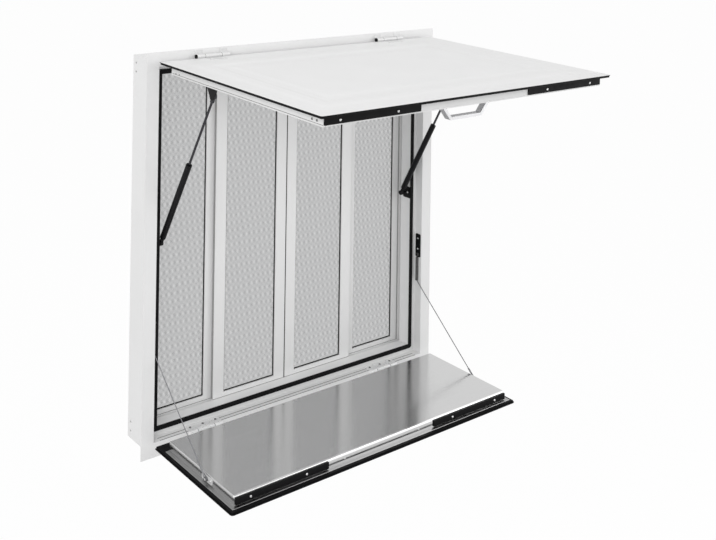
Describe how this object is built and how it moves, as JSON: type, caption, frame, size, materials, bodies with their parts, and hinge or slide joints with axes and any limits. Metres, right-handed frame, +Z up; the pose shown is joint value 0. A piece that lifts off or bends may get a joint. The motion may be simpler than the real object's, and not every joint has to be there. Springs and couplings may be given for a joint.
{
  "type": "concession window",
  "caption": "Serving window with an upward-opening awning door on gas struts, a wire-stayed drop-down shelf and sliding insect screens in a box frame",
  "frame": {"origin": "middle of the bottom strip of the outer flange, on its back face that bears on the wall", "axes": "+X along the window to the right seen from outside, +Y into the building, +Z up"},
  "size_m": [0.971, 0.6946, 0.972],
  "materials": {
    "white_aluminium": "white powder coat, satin",
    "stainless_sheet": "brushed",
    "black_rubber": "matt",
    "black_plastic": "matt",
    "satin_aluminium": "satin anodised",
    "hinge_steel": "satin",
    "black_steel": "black powder coat, semi-gloss",
    "rod_steel": "black nitrided, polished",
    "mesh_fibre": "woven insect mesh",
    "wire_steel": "wire rope with dark sleeve"
  },
  "bodies": {
    "window_frame": {"frame_head": "white_aluminium", "frame_sill": "white_aluminium", "jamb_left": "white_aluminium", "jamb_right": "white_aluminium", "stop_seal": "black_rubber", "door_hinge_left_base": "hinge_steel", "door_hinge_right_base": "hinge_steel", "door_hinge_caps": "black_plastic", "shelf_hinge_left_base": "hinge_steel", "shelf_hinge_right_base": "hinge_steel", "strut_left_jamb_bracket": "black_steel", "strut_right_jamb_bracket": "black_steel", "stay_left_plate": "black_steel", "stay_right_plate": "black_steel", "stay_left_cable": "wire_steel", "stay_right_cable": "wire_steel", "screen_1_frame": "white_aluminium", "screen_1_mesh": "mesh_fibre", "screen_2_frame": "white_aluminium", "screen_2_mesh": "mesh_fibre", "screen_3_frame": "white_aluminium", "screen_3_mesh": "mesh_fibre", "screen_4_frame": "white_aluminium", "screen_4_mesh": "mesh_fibre"},
    "awning_door": {"door_skin": "white_aluminium", "door_seal": "black_rubber", "door_body": "white_aluminium", "door_strip_left": "black_rubber", "door_strip_right": "black_rubber", "door_handle": "satin_aluminium", "door_hinge_left_leaf": "hinge_steel", "door_hinge_right_leaf": "hinge_steel", "strut_left_door_bracket": "black_steel", "strut_right_door_bracket": "black_steel"},
    "shelf": {"shelf_skin": "white_aluminium", "shelf_seal": "black_rubber", "shelf_body": "white_aluminium", "shelf_top": "stainless_sheet", "shelf_strip_left": "black_rubber", "shelf_strip_right": "black_rubber", "shelf_hinge_left_leaf": "hinge_steel", "shelf_hinge_right_leaf": "hinge_steel", "stay_left_bracket": "hinge_steel", "stay_right_bracket": "hinge_steel"},
    "strut_left_rod_body": {"strut_left_rod": "rod_steel"},
    "strut_left_tube_body": {"strut_left_cylinder": "black_steel"},
    "strut_right_rod_body": {"strut_right_rod": "rod_steel"},
    "strut_right_tube_body": {"strut_right_cylinder": "black_steel"}
  },
  "joints": [
    {"name": "awning_hinge", "type": "hinge", "parent": "window_frame", "child": "awning_door", "pos_m": [0, -0.013, 0.9465], "axis": [1, 0, 0], "range_deg": [0, 88.25]},
    {"name": "shelf_hinge", "type": "hinge", "parent": "window_frame", "child": "shelf", "pos_m": [0, -0.007, 0.0235], "axis": [-1, 0, 0], "range_deg": [0, 90], "deforming": ["stay_left_cable", "stay_right_cable"]},
    {"name": "strut_left_pivot", "type": "hinge", "parent": "awning_door", "child": "strut_left_rod_body", "pos_m": [-0.411, -0.17717, 0.88396], "axis": [1, 0, 0], "range_deg": [-117.75, 0]},
    {"name": "strut_left_slide", "type": "slide", "parent": "strut_left_rod_body", "child": "strut_left_tube_body", "axis": [0, -0.4819, 0.8762], "range_m": [0, 0.16004]},
    {"name": "strut_right_pivot", "type": "hinge", "parent": "awning_door", "child": "strut_right_rod_body", "pos_m": [0.411, -0.17717, 0.88396], "axis": [1, 0, 0], "range_deg": [-117.75, 0]},
    {"name": "strut_right_slide", "type": "slide", "parent": "strut_right_rod_body", "child": "strut_right_tube_body", "axis": [0, -0.4819, 0.8762], "range_m": [0, 0.16004]}
  ],
  "couplings": [
    {"joint": "strut_left_pivot", "follows": "awning_hinge", "ratio": -1.332},
    {"joint": "strut_left_slide", "follows": "awning_hinge", "m_per_rad": 0.10371},
    {"joint": "strut_right_pivot", "follows": "awning_hinge", "ratio": -1.332},
    {"joint": "strut_right_slide", "follows": "awning_hinge", "m_per_rad": 0.10371}
  ]
}
